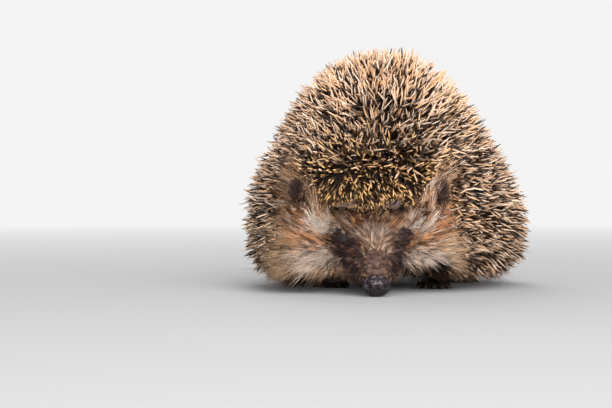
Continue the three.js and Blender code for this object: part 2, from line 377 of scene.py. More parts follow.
def surface(field, axes):
    """The zero level of a field that is sampled on a grid whose steps may differ."""
    grid = np.stack(np.meshgrid(*axes, indexing="ij"), -1).astype(np.float32)
    volume = openvdb.FloatGrid()
    volume.copyFromArray(field(grid).astype(np.float32))
    points, quads = volume.convertToQuads(0.0)[:2]
    places = [np.interp(points[:, i], np.arange(len(a)), a) for i, a in enumerate(axes)]
    points = np.stack(places, -1).astype(np.float32)
    for _ in range(2):
        points -= (field(points) * 0.9)[:, None] * slope(field, points)
    if (normals_of(points, quads) * slope(field, points)).sum() < 0:
        quads = quads[:, ::-1]
    return points, quads


def steps(low, fine_low, fine_high, high, fine, coarse):
    """Grid lines that are close together between two places and far apart outside them."""
    inner = np.arange(fine_low, fine_high + fine, fine)
    before = np.arange(fine_low - coarse, low - coarse, -coarse)[::-1]
    after = np.arange(inner[-1] + coarse, high + coarse, coarse)
    return np.concatenate((before, inner, after))


def quad_ball(parts):
    """A unit sphere of quads, drawn out from the faces of a cube."""
    line = np.tan(np.linspace(-1, 1, parts + 1) * math.pi / 4)
    a, b = np.meshgrid(line, line, indexing="ij")
    index = np.arange((parts + 1) ** 2).reshape(parts + 1, parts + 1)
    square = np.stack((index[:-1, :-1], index[1:, :-1], index[1:, 1:], index[:-1, 1:]), -1).reshape(-1, 4)
    points, quads = [], []
    for axis in range(3):
        for sign in (1, -1):
            side = np.empty((parts + 1, parts + 1, 3))
            side[..., axis], side[..., (axis + 1) % 3], side[..., (axis + 2) % 3] = sign, a * sign, b
            quads.append(square + len(points) * index.size)
            points.append(side.reshape(-1, 3))
    points = unit(np.concatenate(points))
    _, first, same = np.unique(np.round(points, 5), axis=0, return_index=True, return_inverse=True)
    return points[first], same.ravel()[np.concatenate(quads)]


def normals_of(points, faces):
    """Outward directions at a mesh's points, averaged from its quads."""
    corners = points[faces].astype(float)
    across = np.cross(corners[:, 2] - corners[:, 0], corners[:, 3] - corners[:, 1])
    total = np.zeros((len(points), 3))
    for i in range(faces.shape[1]):
        np.add.at(total, faces[:, i], across)
    return unit(total)


def octahedral(v):
    """Unwraps directions onto the unit square, nearly evenly."""
    v = v / np.abs(v).sum(-1, keepdims=True)
    sign = np.where(v >= 0, 1.0, -1.0)
    flipped = (1 - np.abs(v[..., 1::-1])) * sign[..., :2]
    return 0.5 + 0.5 * np.where(v[..., 2:] >= 0, v[..., :2], flipped)


# ------------ strands
# The width of a strand's patch on the UV map, and the height of hairs that lie on the floor.
PATCH = 0.003
LOWEST_HAIR = 0.4
REACH_STEPS = 12


def strands(name, roots, aims, curls, lengths, girths, tints, profile, sides, middle):
    """Joins many tapering spikes into one mesh. profile lists each ring's place along a strand
    and its share of the girth, and ends with the tip. tints holds a colour for each ring."""
    count, rings = len(roots), len(profile)
    along = np.array([t for t, _ in profile])
    girth = np.array([g for _, g in profile])
    line = aims[:, None] * along[:, None] + curls[:, None] * (along**2)[:, None]
    centres = roots[:, None] + line * lengths[:, None, None]
    side = unit(np.cross(aims, rng.normal(size=aims.shape)))
    other = np.cross(aims, side)
    angles = np.arange(sides) * 2 * math.pi / sides
    ring = side[:, None] * np.cos(angles)[:, None] + other[:, None] * np.sin(angles)[:, None]
    scale = girths[:, None] * girth[:-1] / 2
    body = centres[:, :-1, None] + ring[:, None] * scale[:, :, None, None]
    points = np.concatenate((body.reshape(count, -1, 3), centres[:, -1:]), 1)
    points[..., 2] = np.maximum(points[..., 2], LOWEST_HAIR + 0.02 * (points[..., 2] % 1))

    own = (rings - 1) * sides + 1
    faces = []
    for r in range(rings - 2):
        for s in range(sides):
            a, b = r * sides + s, r * sides + (s + 1) % sides
            faces += [(a, b, b + sides), (a, b + sides, a + sides)]
    last = (rings - 2) * sides
    faces += [(last + s, last + (s + 1) % sides, own - 1) for s in range(sides)]
    faces += [(0, s + 1, s) for s in range(1, sides - 1)]
    faces = np.array(faces)[None] + (np.arange(count) * own)[:, None, None]

    tint = np.repeat(tints[:, :-1], sides, 1)
    tint = np.concatenate((tint, tints[:, -1:]), 1)
    place = octahedral(unit(roots - middle))[:, None]
    across = np.concatenate((np.tile(np.arange(sides) / (sides - 1), rings - 1), (0.5,)))
    up = np.concatenate((np.repeat(along[:-1], sides), (1.0,)))
    patch = place + PATCH * np.stack((across, up), -1)
    points, faces, tint, patch = (a.reshape(-1, a.shape[-1]) for a in (points, faces, tint, patch))
    return new_object(name, points, faces, tint, patch)


def scatter(points, faces, normals, density, count):
    """Random places on a mesh and its directions there, as thick as density says."""
    triangles = np.concatenate((faces[:, (0, 1, 2)], faces[:, (0, 2, 3)]))
    corners = points[triangles].astype(float)
    area = size(np.cross(corners[:, 1] - corners[:, 0], corners[:, 2] - corners[:, 0])) / 2
    weight = area * density(corners.mean(1))
    chosen = rng.choice(len(triangles), count, p=weight / weight.sum())
    r1, r2 = np.sqrt(rng.random(count)), rng.random(count)
    shares = np.stack((1 - r1, r1 * (1 - r2), r1 * r2), -1)
    at = [(each[triangles[chosen]] * shares[..., None]).sum(1) for each in (points, normals)]
    return at[0], unit(at[1])


def spaced(places, gaps):
    """Which places are no nearer than their gap to one kept before."""
    tree = kdtree.KDTree(len(places))
    for i, place in enumerate(places):
        tree.insert(place, i)
    tree.balance()
    kept = np.ones(len(places), bool)
    for i, place in enumerate(places):
        if kept[i]:
            for _, other, _ in tree.find_range(place, gaps[i]):
                if other > i:
                    kept[other] = False
    return kept


def reach(p, aims, longest):
    """How far it is from each place, along its aim, to the coat's outline."""
    far = np.zeros(len(p))
    for _ in range(REACH_STEPS):
        inside = -coat_field((p + aims * far[:, None]).astype(np.float32))
        far = np.clip(far + inside * 0.9, 0, longest)
    return far


# ------------ where spines and fur grow
# Each profile lists places along the mantle's edge and how high or how far back it lies there.
SKIRT_PROFILE = (-18, -8, 10, 45), (17, 12, 9, 14)
LEFT_CHEEK_PROFILE = (0, 12, 18, 25, 37, 47, 60), (-4, -10, -17, -20, -19, -16, -12)
RIGHT_CHEEK_PROFILE = (0, 12, 18, 25, 30, 44, 52, 60), (0, -8, -14, -18, -15, 0, 1, -7)
BROW_PROFILE = (0, 6, 9, 13, 16, 19, 22, 27, 36, 60), (42.5, 43, 46.5, 48, 46.5, 43.5, 44.5, 51, 61, 66)
HOLLOW_TOP = (-50, -42, -32, -21, -10, 10, 18, 25, 32, 40, 48), (0, 3.5, 7, 6.5, 4, 2, 4, 9.5, 13.5, 16, 3)
BALD_PATCH = (12.5, -29.5, 44.4), (5.5, 10, 2.3)
PATCH_VIEW = (12.5, 44.6), (6.5, 3.2)
FOREHEAD = (0, -32, 31), (15, 16, 11)
STRIPE_HEIGHTS = (4, 12, 20, 28, 34)
STRIPE_MIDDLES, STRIPE_HALVES = (8, 10, 13, 16.5, 18), (3.6, 4.9, 6.8, 7.0, 4.4)
STRIPE_RIGHT, STRIPE_LEFT = 1.15, 0.95


def spot(m, centre, radii, softness=0.5):
    """1 in the middle of a rounded patch, falling to 0 past its edge."""
    d = size((m - np.array(centre)) / np.array(radii))
    return 1 - smooth(1 - softness, 1 + softness, d)


def bald_patch(q):
    """Two bare patches of skin under the spines of the brow."""
    return spot(folded(q), *BALD_PATCH, 0.4)


def in_front_of_patch(m):
    """Which places hide a bare patch from the front."""
    return (size((m[..., ::2] - PATCH_VIEW[0]) / PATCH_VIEW[1]) < 1) & (m[..., 1] < FACE_FRONT)


def mantle_edge(q):
    """How far a place of the head's frame is inside the mantle of spines."""
    x, y, z = q[..., 0], q[..., 1], q[..., 2]
    ragged = (1.5 * noise(q, 7, 3) + 1.0 * noise(q, 2.5, 4)) * (1 - 0.6 * bald_patch(q))
    above = z - np.interp(np.abs(x), *BROW_PROFILE)
    behind = y - np.where(x > 0, np.interp(z, *LEFT_CHEEK_PROFILE), np.interp(z, *RIGHT_CHEEK_PROFILE))
    return np.minimum(np.maximum(above, behind), z - np.interp(y, *SKIRT_PROFILE)) + ragged


def shadowed_hollow(q):
    """1 in the hollows under the cheeks, deepest on the left, where painted shadow is laid."""
    below = np.interp(q[..., 0], *HOLLOW_TOP) - q[..., 2]
    return smooth(-1, 2, below) * (1 - smooth(20, 40, q[..., 1]))


def stubble(q):
    """Where a few small spines grow in the fold under the brow."""
    return spot(folded(q), (2, -30, 41), (9, 10, 2.2), 0.2) > 0.5


def between(q):
    """Fur that grows among the spines beside the face, thinner further in."""
    return (1 - smooth(-0.5, 7, mantle_edge(q))) * smooth(21, 27, np.abs(q[..., 0]))


def seen(r, g, b):
    """A colour given as it is seen, from 0 to 255, as a shader needs it."""
    c = np.array((r, g, b)) / 255
    return np.where(c <= 0.04045, c / 12.92, ((c + 0.055) / 1.055) ** 2.4)


WHITE = seen(255, 236, 220)
STRAW = seen(240, 202, 162)
CREAM = seen(255, 230, 210)
TAN = seen(184, 146, 112)
ORANGE = seen(168, 114, 74)
BROWN = seen(112, 74, 50)
GREY_TAN = seen(145, 120, 105)
DARK = seen(55, 43, 44)
EAR_DARK = seen(70, 52, 46)
PINKISH = seen(103, 79, 71)
LILAC = seen(136, 119, 130)
# SHADED is the colour of painted shade near the floor and of the painted shadow under the cheeks.
SHADED = seen(70, 56, 48)
SPINE_PALE = seen(255, 226, 200)
SPINE_TAN = seen(196, 148, 114)
SPINE_GOLD = seen(246, 190, 122)
SPINE_DARK = seen(38, 21, 15)
NOSE_DARK = seen(24, 15, 19)
EYE_BLACK = seen(12, 10, 10)
CLAW_HORN = seen(66, 54, 46)


def mask(q):
    """The dark stripes from above the eyes down the sides of the muzzle, the right one wider."""
    m = folded(q)
    wide = np.where(q[..., 0] < 0, STRIPE_RIGHT, STRIPE_LEFT)
    middle = np.interp(m[..., 2], STRIPE_HEIGHTS, STRIPE_MIDDLES)
    half = np.interp(m[..., 2], STRIPE_HEIGHTS, STRIPE_HALVES)
    across = 1 - smooth(0.6, 1.35, np.abs(m[..., 0] - middle) / (half * wide))
    return across * (1 - smooth(33, 37, m[..., 2])) * (1 - smooth(-24, -19, m[..., 1]))


def lay(colour, over, share):
    """Lays a colour over another, as thickly as share says."""
    return colour + (over - colour) * share[..., None]


def white_spot(m):
    """The pale patch between an eye and its ear."""
    return spot(m, (26, -26, 36.5), (8, 12, 5.5), 0.3)


# Markings from the lowest layer up, each (colour, share, centre, radii).
CHEEK_MARKINGS = (
    (ORANGE, 0.8, (37, -15, 33), (10, 15, 12)),
    (BROWN, 0.6, (38, -12, 43), (7, 10, 8)),
    (BROWN * 0.8, 0.6, (31, -20, 46), (7, 9, 4.5)),
    (STRAW, 0.85, (49, -16, 20), (9, 13, 17)),
    (ORANGE, 0.8, (25, -27, 26), (7, 9, 5)),
    (CREAM, 1, (30, -27, 16.5), (13, 14, 6.5)),
)
LEFT_MARKINGS = ((BROWN, 0.6, (42, -18, 38), (5, 12, 8)),)
FOREHEAD_MARKINGS = (
    (GREY_TAN, 1, (0, -30, 33), (15, 16, 9)),
    (BROWN, 0.6, (25, -29, 22), (8, 9, 4.5)),
    (ORANGE * 0.7, 0.9, (13, -28, 38.3), (13, 10, 3)),
    (BROWN * 0.6, 0.7, (0, -30, 38), (8, 10, 2.6)),
)


def lay_all(colour, m, markings):
    for over, share, centre, radii in markings:
        colour = lay(colour, over, share * spot(m, centre, radii))
    return colour


def fur_colour(p):
    """The markings and painted shade, the same for the skin and for the fur that grows from it."""
    q = to_head(p)
    drift = 1.2 * noise(p, 4, 1)[..., None]
    m = folded(q) + drift
    colour = np.broadcast_to(TAN, m.shape).copy()
    colour = lay(colour, BROWN, 0.6 * smooth(-0.1, 0.6, noise(p, 8, 2)))
    colour = lay_all(colour, m, CHEEK_MARKINGS)
    colour = lay(colour, WHITE * 1.5, white_spot(m))
    colour = lay_all(colour, q + drift, LEFT_MARKINGS)
    colour = lay_all(colour, m, FOREHEAD_MARKINGS)
    # Painted shade in the fold under the brow.
    colour = lay(colour, DARK * 0.5, brow_fold(m))
    colour = lay(colour, LILAC * 1.4, bald_patch(m))
    colour = lay(colour, PINKISH, spot(m, (0, -45, 18), (8, 8, 8)))
    colour = lay(colour, DARK, 0.95 * mask(q + drift))
    colour = lay(colour, EAR_DARK, spot(m, EAR, (6, 7, 7.5), 0.3))
    # Painted shade, darker towards the floor.
    colour = lay(colour, SHADED, 0.8 * (1 - smooth(2, 10, m[..., 2])))
    # Near-black painted shadow in the hollows under the cheeks.
    return lay(colour, SHADED * 0.12, shadowed_hollow(q))


# ------------ the pieces
def eye_place():
    """The left eyeball's centre in the head's frame, and its radius."""
    low, high = (np.array(c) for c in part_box("eye_left"))
    return to_head((low + high) / 2 / MM), float((high - low)[2]) / 2 / MM


EYE, EYE_RADIUS = eye_place()
FLESH = ("head", "neck", "trunk", "tail", "ear_left", "ear_right",
         "foreleg_left", "foreleg_right", "hindleg_left", "hindleg_right")
BODY_MIDDLE = np.array((0, 5, 40.0))
HEAD_MIDDLE = from_head((0, -4, 24))
rng = np.random.default_rng(SEED)


def finish_piece(piece, material, slot, *nodes):
    piece.data.materials.append(material)
    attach(piece, "root")
    if nodes:
        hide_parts(*nodes)


def fill(node, inputs):
    """Sets a shader node's inputs to values or links them from other nodes' outputs."""
    for name, value in inputs.items():
        if isinstance(value, bpy.types.NodeSocket):
            node.id_data.links.new(value, node.inputs[name])
        else:
            node.inputs[name].default_value = value
    return node


def add_node(tree, kind, output, inputs=None, **settings):
    """Adds a shader node and returns one of its outputs."""
    made = tree.nodes.new(f"ShaderNode{kind}")
    for name, value in settings.items():
        setattr(made, name, value)
    return fill(made, inputs or {}).outputs[output]


def tree_of(owner):
    owner.use_nodes = True
    return owner.node_tree


def tinted_material(name, roughness, specular, grain, grain_size, bump=0.0):
    """A surface in the colours of its points, with a fine grain in its shade and height."""
    material = bpy.data.materials.new(name)
    tree = tree_of(material)
    where = add_node(tree, "TexCoord", "Object")
    speckle = add_node(tree, "TexNoise", "Fac", {"Vector": where, "Scale": 1 / (grain_size * MM), "Detail": 3})
    shade = add_node(tree, "MapRange", "Result", {"Value": speckle, "To Min": 1 - grain, "To Max": 1 + grain})
    tint = add_node(tree, "Attribute", "Color", attribute_name="tint")
    mixed = add_node(tree, "VectorMath", "Vector", {0: tint, "Scale": shade}, operation="SCALE")
    shader = fill(tree.nodes["Principled BSDF"],
                  {"Base Color": mixed, "Roughness": roughness, "Specular IOR Level": specular})
    if bump:
        heights = {"Strength": 1, "Distance": bump * MM, "Height": speckle}
        fill(shader, {"Normal": add_node(tree, "Bump", "Normal", heights)})
    return material


SKIN = tinted_material("skin", 0.7, 0.2, 0.25, 1.2, 0.4)
SPINES = tinted_material("spines", 0.4, 0.25, 0.12, 1.5)
FUR = tinted_material("fur", 0.6, 0.1, 0.15, 1.5)
NOSE_LEATHER = tinted_material("nose_leather", 0.2, 0.35, 0.35, 0.6, 0.6)
EYE_GLOSS = tinted_material("eye_gloss", 0.06, 0.7, 0.1, 2.0)
CLAWS = tinted_material("claws", 0.35, 0.5, 0.25, 0.8)


def skin_colour(p):
    """The fur's markings and painted shade, darker, with bare skin on the nose, the brow and the
    eyelids, and painted shade under the spines and in the creases of the bridge.
    """
    q = to_head(p)
    colour = 0.55 * fur_colour(p) * (1 - 0.4 * white_spot(folded(q)))[:, None]
    # Painted shade: the skin under the spines is dark, so the gaps between the spines look deep.
    colour = lay(colour, SPINE_DARK * 0.6, smooth(0, 4, mantle_edge(q)))
    colour = lay(colour, LILAC * 0.8, bald_patch(q))
    # Painted shade in the creases of the bare bridge, which is lighter pink on its lumps.
    lumps = smooth(0, 0.45, np.abs(bridge_noise(q))) * (1 + 0.8 * noise(q, 1.2, 61))
    colour = lay(colour, lay(BROWN * 0.25, PINKISH * 0.9, lumps), spot(q, BARE_BRIDGE, BARE_RADII, 0.3))
    return lay(colour, DARK * 0.5, spot(folded(q), EYE, (5, 5, 5), 0.2))


# The grid's steps on the face and elsewhere.
FINE, COARSE = 0.6, 2.4


def make_skin():
    """Skin and ears in one mesh. Returns the body and the ears as (points, faces, normals)."""
    x = steps(-74, -48, 44, 74, FINE, COARSE)
    y = steps(-94, -94, -46, 94, FINE, COARSE)
    z = steps(-1.2, -1.2, 60, 120, FINE, COARSE)
    points, faces = surface(skin_field, (x, y, z))
    body = (points, faces, normals_of(points, faces))
    meshes = [(points, faces, skin_colour(points.astype(float)))]
    meshes += [ear_leaf(side) for side in (1, -1)]
    ears = [(p, f, normals_of(p, f)) for p, f, _ in meshes[1:]]
    starts = np.cumsum([0] + [len(p) for p, _, _ in meshes])
    moved = ((p, f + n, c) for (p, f, c), n in zip(meshes, starts))
    together = [np.concatenate(rows) for rows in zip(*moved)]
    finish_piece(new_object("skin", *together), SKIN, "fur", *FLESH)
    return body, ears


def ear_leaf(side):
    """A cupped leaf with a rounded rim, open towards the front, with its quads and colours."""
    ball, faces = quad_ball(EAR_FINE)
    u, thick, w = ball.T
    r = np.maximum(np.hypot(u, w), TINY)
    u, w = u * r**-0.4, w * r**-0.4
    narrow = 1 - 0.3 * smooth(0.0, -1.0, w) + 0.06 * smooth(0.2, 0.9, w)
    bowl = EAR_BOWL * np.exp(-((u / 0.5) ** 2) - ((w + 0.35) / 0.6) ** 2)
    ripple = EAR_RIPPLE * np.sin(5 * w + 2 * u) * np.hypot(u, w)
    y = bowl - EAR_CUP * u * u - EAR_TIP_CUP * w * w + ripple + thick * EAR_THICKNESS / 2
    x, z = u * narrow * EAR_WIDTH / 2, w * EAR_HEIGHT / 2
    c, s = math.cos(EAR_LEAN), math.sin(EAR_LEAN)
    leaf = turned(np.stack((x, y * c + z * s, z * c - y * s), -1), EAR_OPEN) + EAR
    # The inside of the cup is darker, as painted shade.
    inside = smooth(0.2, -0.4, thick) * smooth(1.0, 0.6, np.hypot(u, w))
    colour = lay(np.broadcast_to(EAR_DARK, leaf.shape), EAR_DARK * 0.35, inside)
    if side < 0:
        faces = faces[:, ::-1]
    return from_head(leaf * (side, 1, 1)), faces, colour


def wandering(p, cell, seed):
    """A smooth random direction, for locks that lean together."""
    return np.stack([noise(p, cell, seed + i) for i in range(3)], -1)


def along_skin(flow, normal):
    """The part of a direction that lies in the skin."""
    return unit(flow - (flow * normal).sum(-1)[:, None] * normal)


def make_parts(name, material, slot, order, arrays, profile, middle):
    """Makes pieces of about one size, each under the limit."""
    triangles = len(order) * 2 * (HAIR_SIDES * (len(profile) - 1) - 1)
    for i, part in enumerate(np.array_split(order, math.ceil(triangles / MOST_TRIANGLES))):
        made = strands(f"{name}_{i}", *(a[part] for a in arrays), profile, HAIR_SIDES, middle)
        finish_piece(made, material, slot)


MOST_TRIANGLES = 190000
HAIR_SIDES = 3
WHORL = np.array((1, -60, 85.0))
SPINE_TRIES = 66000
SPINE_GAP, BROW_GAP = 1.42, 1.2
LONGEST_SPINE, SHORTEST_REACH, SPINE_SPREAD = 26, 7, 3.5
SPINE_PROFILE = ((0, 0.8), (0.35, 1), (0.55, 1), (0.68, 1), (0.78, 0.93), (0.87, 0.76), (0.94, 0.5), (1, 0))
DARK_SPINES = 0.16


def brow(p):
    """1 where the spines stand thick over the face."""
    return spot(to_side(p), (0, -28, 55), (40, 28, 26), 0.7)


def crest(p):
    """1 where the spines stand thick on top of the dome."""
    return spot(p, (-2, -25, 118), (60, 50, 26), 0.7)


def spine_density(p):
    q = to_head(p)
    return (mantle_edge(q) > 0) * (1 + brow(p) + crest(p)) + 0.6 * stubble(q)


def spine_aims(roots, normal):
    """Out of the skin and away from the whorl, lower over the face, and no two quite alike."""
    away = roots - WHORL
    fringe = spot(to_side(roots), (0, -28, 49), (36, 14, 15), 0.8)
    lean = np.interp(size(away), (0, 20, 45, 90), (0.3, 0.3, 0.25, 0.4))
    lean = lean + (0.7 - lean) * fringe
    flow = along_skin(away + 24 * wandering(roots, 14, 20), normal)
    aims = unit(normal * (1 - lean)[:, None] + flow * lean[:, None])
    stray = np.interp(size(away), (15, 45), (0.6, 0.3))[:, None] * (1 - 0.4 * fringe)[:, None]
    return unit(aims + 0.35 * wandering(roots, 5, 30) + stray * rng.normal(size=roots.shape))


def over_face(tips, on_head):
    """Which tips are past the mantle's edge, over a bare patch or over the fold of the brow."""
    m = folded(tips)
    past = (mantle_edge(tips) < np.where(on_head, 0.3, -4)) | in_front_of_patch(m)
    return past | (under_brow(m) > -0.6) & (tips[:, 1] < FACE_FRONT) & (np.abs(tips[:, 0]) < 27)


def spine_lengths(roots, aims):
    """Lengths out to the coat's outline, and which spines are long enough to keep."""
    q = to_head(roots)
    on_head = q[:, 1] < -8
    spread = rng.uniform(-SPINE_SPREAD, SPINE_SPREAD, len(roots)) * (1 - 0.6 * brow(roots))
    lengths = np.maximum(reach(roots, aims, LONGEST_SPINE), SHORTEST_REACH) + spread
    lengths *= 0.5 + 0.5 * smooth(0, 8, mantle_edge(q))
    for _ in range(8):
        lengths[over_face(to_head(roots + aims * lengths[:, None]), on_head)] *= 0.85
    small = stubble(q)
    lengths[small] = rng.uniform(2, 3.6, small.sum())
    return lengths, lengths > np.where(small, 0, np.where(on_head, 4.5, 2.5))


def spine_colours(roots):
    """A dark band under a pale shaft, which is golden over the face, with painted shade towards the
    roots, low down and on the animal's right, and painted light high on the dome.
    """
    q, count = to_head(roots), len(roots)
    golden = spot(folded(q), (0, -28, 46), (40, 28, 22), 0.6)
    gold = np.clip(0.1 + 0.9 * golden + 0.25 * rng.normal(size=count), 0, 1)
    pale = lay(np.broadcast_to(SPINE_PALE, (count, 3)), SPINE_TAN, rng.uniform(0, 1, count) ** 1.5)
    pale = lay(pale, SPINE_GOLD, gold) * rng.uniform(0.6, 1.15, (count, 1))
    # Painted light and shade: the pale parts are lighter high on the dome and darker low down.
    pale *= np.interp(roots[:, 2], (8, 35, 80, 92), (0.4, 0.9, 1.05, 1.4))[:, None]
    # Painted shade on the animal's right side.
    pale *= np.interp(roots[:, 0], (-40, -15), (0.88, 1))[:, None]
    pale *= 1 - 0.3 * spot(roots, WHORL, (28, 22, 14), 0.6)[:, None]
    pale /= np.maximum(pale.max(1, keepdims=True) / 0.95, 1)
    pale[rng.random(count) < DARK_SPINES * (1 - 0.5 * crest(roots))] *= 0.08
    edge = 0.7 * (1 - smooth(0, 9, mantle_edge(q))) * smooth(20, 27, np.abs(q[:, 0]))
    pale = lay(pale, SPINE_TAN, edge)
    dark = lay(SPINE_DARK * rng.uniform(0.4, 1.5, (count, 1)), BROWN * 0.7, edge)
    along = np.array([t for t, _ in SPINE_PROFILE])
    band = (np.interp(roots[:, 2], (60, 100), (0.46, 0.36)) + rng.uniform(0, 0.34, count))[:, None]
    banded = 1 - smooth(0.1, 0.17, np.abs(along - band))
    # Painted shade: each shaft darkens towards its root.
    shaft = pale[:, None] * np.interp(along, (0, 0.3, 0.62), (0.04, 0.22, 1))[:, None]
    return lay(shaft, dark[:, None], banded)


def make_spines(skin):
    roots, normal = scatter(*skin, spine_density, SPINE_TRIES)
    gaps = SPINE_GAP + (BROW_GAP - SPINE_GAP) * np.maximum(brow(roots), crest(roots))
    kept = spaced(roots, gaps)
    roots, normal = roots[kept], normal[kept]
    aims = spine_aims(roots, normal)
    lengths, kept = spine_lengths(roots, aims)
    roots, aims, lengths = roots[kept], aims[kept], lengths[kept]
    count = len(roots)
    tints = spine_colours(roots)
    curls = 0.04 * rng.normal(size=(count, 3))
    girths = rng.uniform(0.85, 1.25, count) * np.interp(lengths, (2, 9), (0.65, 1))
    arrays = (roots, aims, curls, lengths, girths, tints)
    make_parts("spines", SPINES, "spines", np.argsort(roots[:, 0]), arrays, SPINE_PROFILE, BODY_MIDDLE)


LONG_HAIR = ((0, 1), (0.5, 0.8), (1, 0))
SHORT_HAIR = ((0, 1), (0.55, 0.75), (1, 0))
LONGEST_HAIR = 40
# A tuft has the colour of the place that this much of its length reaches.
SHOWN = 0.7


def brow_room(m):
    """The longest hair that doesn't cross the fold under the brow from below."""
    across = 30 * smooth(17, 24, m[..., 0]) + 30 * (m[..., 1] > FACE_FRONT)
    return np.maximum(under_brow(m) / 0.8, 0.9 + 0.5 * (under_brow(m) < 0)) + across


def trimmed(centres, normal, lock, full):
    """Tufts' lengths inside the coat's outline and clear of the brow's fold, the hollows under
    the cheeks and the floor. Hair may hang longer from the hem and from underneath."""
    tuck = spot(centres, TUCK[0], (26, 26, 40), 0.3) * smooth(18, 26, centres[:, 0])
    hem = (1 - smooth(4, 14, centres[:, 2])) * (1 - tuck)
    underneath = normal[:, 2] < -0.6
    spread = rng.uniform(-2.5, 3.5, len(full)) * (1 - tuck)
    room = reach(centres, lock, LONGEST_HAIR) + spread + (4 + 4 * underneath) * hem
    full = np.minimum(full, np.maximum(room, 1.2))
    full = np.minimum(full, brow_room(to_side(centres)))
    kept_out = (rng.random(len(full)) > 0.15) & ~underneath
    for _ in range(6):
        full[(shadowed_hollow(to_head(centres + lock * full[:, None])) > 0.7) & kept_out] *= 0.8
    above_floor = np.maximum(centres[:, 2] - LOWEST_HAIR, 0.8)
    return np.minimum(full, above_floor / np.maximum(-lock[:, 2], 0.05))


def tuft_colours(places, contrast, streaks):
    """The markings and painted shade at these places, with a few streaks, none of them pale in the
    painted shadow under the cheeks. Tufts are lighter at the sides of the face and on the white spot.
    """
    colour, streak = fur_colour(places), rng.random(len(places))
    q = to_head(places)
    white = white_spot(folded(q))
    colour = lay(colour, BROWN * 0.5, 0.7 * (streak < streaks) * (1 - white))
    pale = (streak > 1 - streaks) * (1 - smooth(0, 0.4, mask(q))) * (1 - shadowed_hollow(q))
    colour = lay(colour, CREAM, 0.6 * pale)
    aside = smooth(28, 40, np.abs(q[:, 0]))
    varied = contrast * (1 + 0.3 * aside) * (1 - 0.6 * white)
    return colour * np.exp(varied * rng.normal(size=len(places)) + 0.2 * aside + 0.15 * white)[:, None]


def make_fur(skin, name, density, flow, lift, length, middle, tufts, each, width, girth, shade, profile,
             raised=0.0, longer=1.0, wander=0.35, contrast=0.3, streaks=0.0, blur=0.5, indoors=True):
    """Grows tufts of a few hairs each that draw together. density, flow, lift and length take the
    tufts' places. raised adds to the lift, longer multiplies the length, and indoors keeps the
    tufts inside the coat's outline."""
    centres, normal = scatter(*skin, density, tufts)
    lie = along_skin(flow(centres), normal)
    rise = (lift(centres) + raised)[:, None]
    lock = lie + normal * rise + wander * wandering(centres, 3.5, 40)
    lock = unit(lock + 0.14 * rng.normal(size=centres.shape))
    full = longer * length(centres) * rng.uniform(0.75, 1.15, tufts)
    if indoors:
        full = trimmed(centres, normal, lock, full)
    shown = centres + SHOWN * full[:, None] * lock + blur * rng.normal(size=centres.shape)
    colour = tuft_colours(shown, contrast, streaks)

    owner = np.repeat(np.arange(tufts), each)
    count = len(owner)
    spill = along_skin(rng.normal(size=(count, 3)), normal[owner]) * rng.uniform(0, width, (count, 1))
    sunk = np.minimum(0.5, 0.12 * full)[:, None] * normal
    roots = centres[owner] + spill - sunk[owner]
    to_tip = lock[owner] * full[owner][:, None] - 0.75 * spill
    aims = unit(unit(to_tip) + 0.09 * rng.normal(size=(count, 3)))
    lengths = full[owner] * rng.uniform(0.6, 1.1, count)
    curls = 0.3 * lie[owner] - 0.25 * (normal * rise)[owner] + 0.1 * rng.normal(size=(count, 3))
    # shade paints the layer lit or shaded: below 1 is painted shade on the undercoats and the throat, above 1
    # painted light on the upper hairs.
    tint = colour[owner] * np.exp(0.4 * rng.normal(size=(count, 1))) * shade
    tint = tint / np.maximum(tint.max(1, keepdims=True) / 0.92, 1)
    # Painted shade deep in the coat: each hair is darker at its root and lighter at its tip.
    tints = tint[:, None] * np.linspace(0.3, 1.1, len(profile))[:, None]
    girths = girth * rng.uniform(0.7, 1.25, count) * (1 - 0.3 * forehead(centres))[owner]
    girths = girths * np.interp(lengths, (1, 4.5), (0.4, 1))
    arrays = (roots, aims, curls, lengths, girths, tints)
    make_parts(name, FUR, "fur", np.argsort(roots[:, 0], kind="stable"), arrays, profile, middle)


def from_nose(p):
    return size(to_side(p) - np.array((0, -47, 10)))


def face_density(p):
    """Fur on the whole face but the nose and the slits of the eyes."""
    m = to_side(p)
    from_slit = (m - EYE) @ eye_axes().T - (0, EYELID_RADIUS, 0)
    bare = (size(from_slit / (2.6, 3, 0.8)) < 1) | (size(m - np.array(NOSE)) < 7.4)
    beside = np.maximum(mantle_edge(to_head(p)) < 0.5, between(to_head(p)))
    thick = beside * (m[..., 1] < 6) * (1 - 0.4 * bald_patch(m)) * (1 - brow_fold(m)) * ~bare
    thick = thick * (1 - 0.75 * spot(m, BARE_BRIDGE, (7.5, 9, 5.5), 0.3)) * (1 + 2.5 * spot(m, EYE, (9, 9, 9)))
    thick = thick * (1 + 1.5 * spot(m, (12, -30, 38.5), (14, 10, 4)))
    return thick * np.interp(from_nose(p), (8, 25, 50), (3.6, 1, 0.8))


def locks_density(p):
    """Long locks, thickest in front of the ears."""
    return face_density(p) * (1 + 5 * spot(to_side(p), (31, -22, 43), (7, 9, 6)))


def face_flow(p):
    q = to_head(p)
    flow = q - np.array((0, -47, 23))
    flow[:, 0] *= 1 + 1.2 * forehead(p)
    flow[:, 2] += 16 * spot(q, (0, -46, 16), (9, 8, 9))
    flow[:, 2] -= 24 * (1 - smooth(5, 24, q[:, 2]))
    flow[:, 2] += 24 * spot(folded(q), (33, -20, 42), (13, 14, 11))
    return turned(flow, HEAD_TURN)


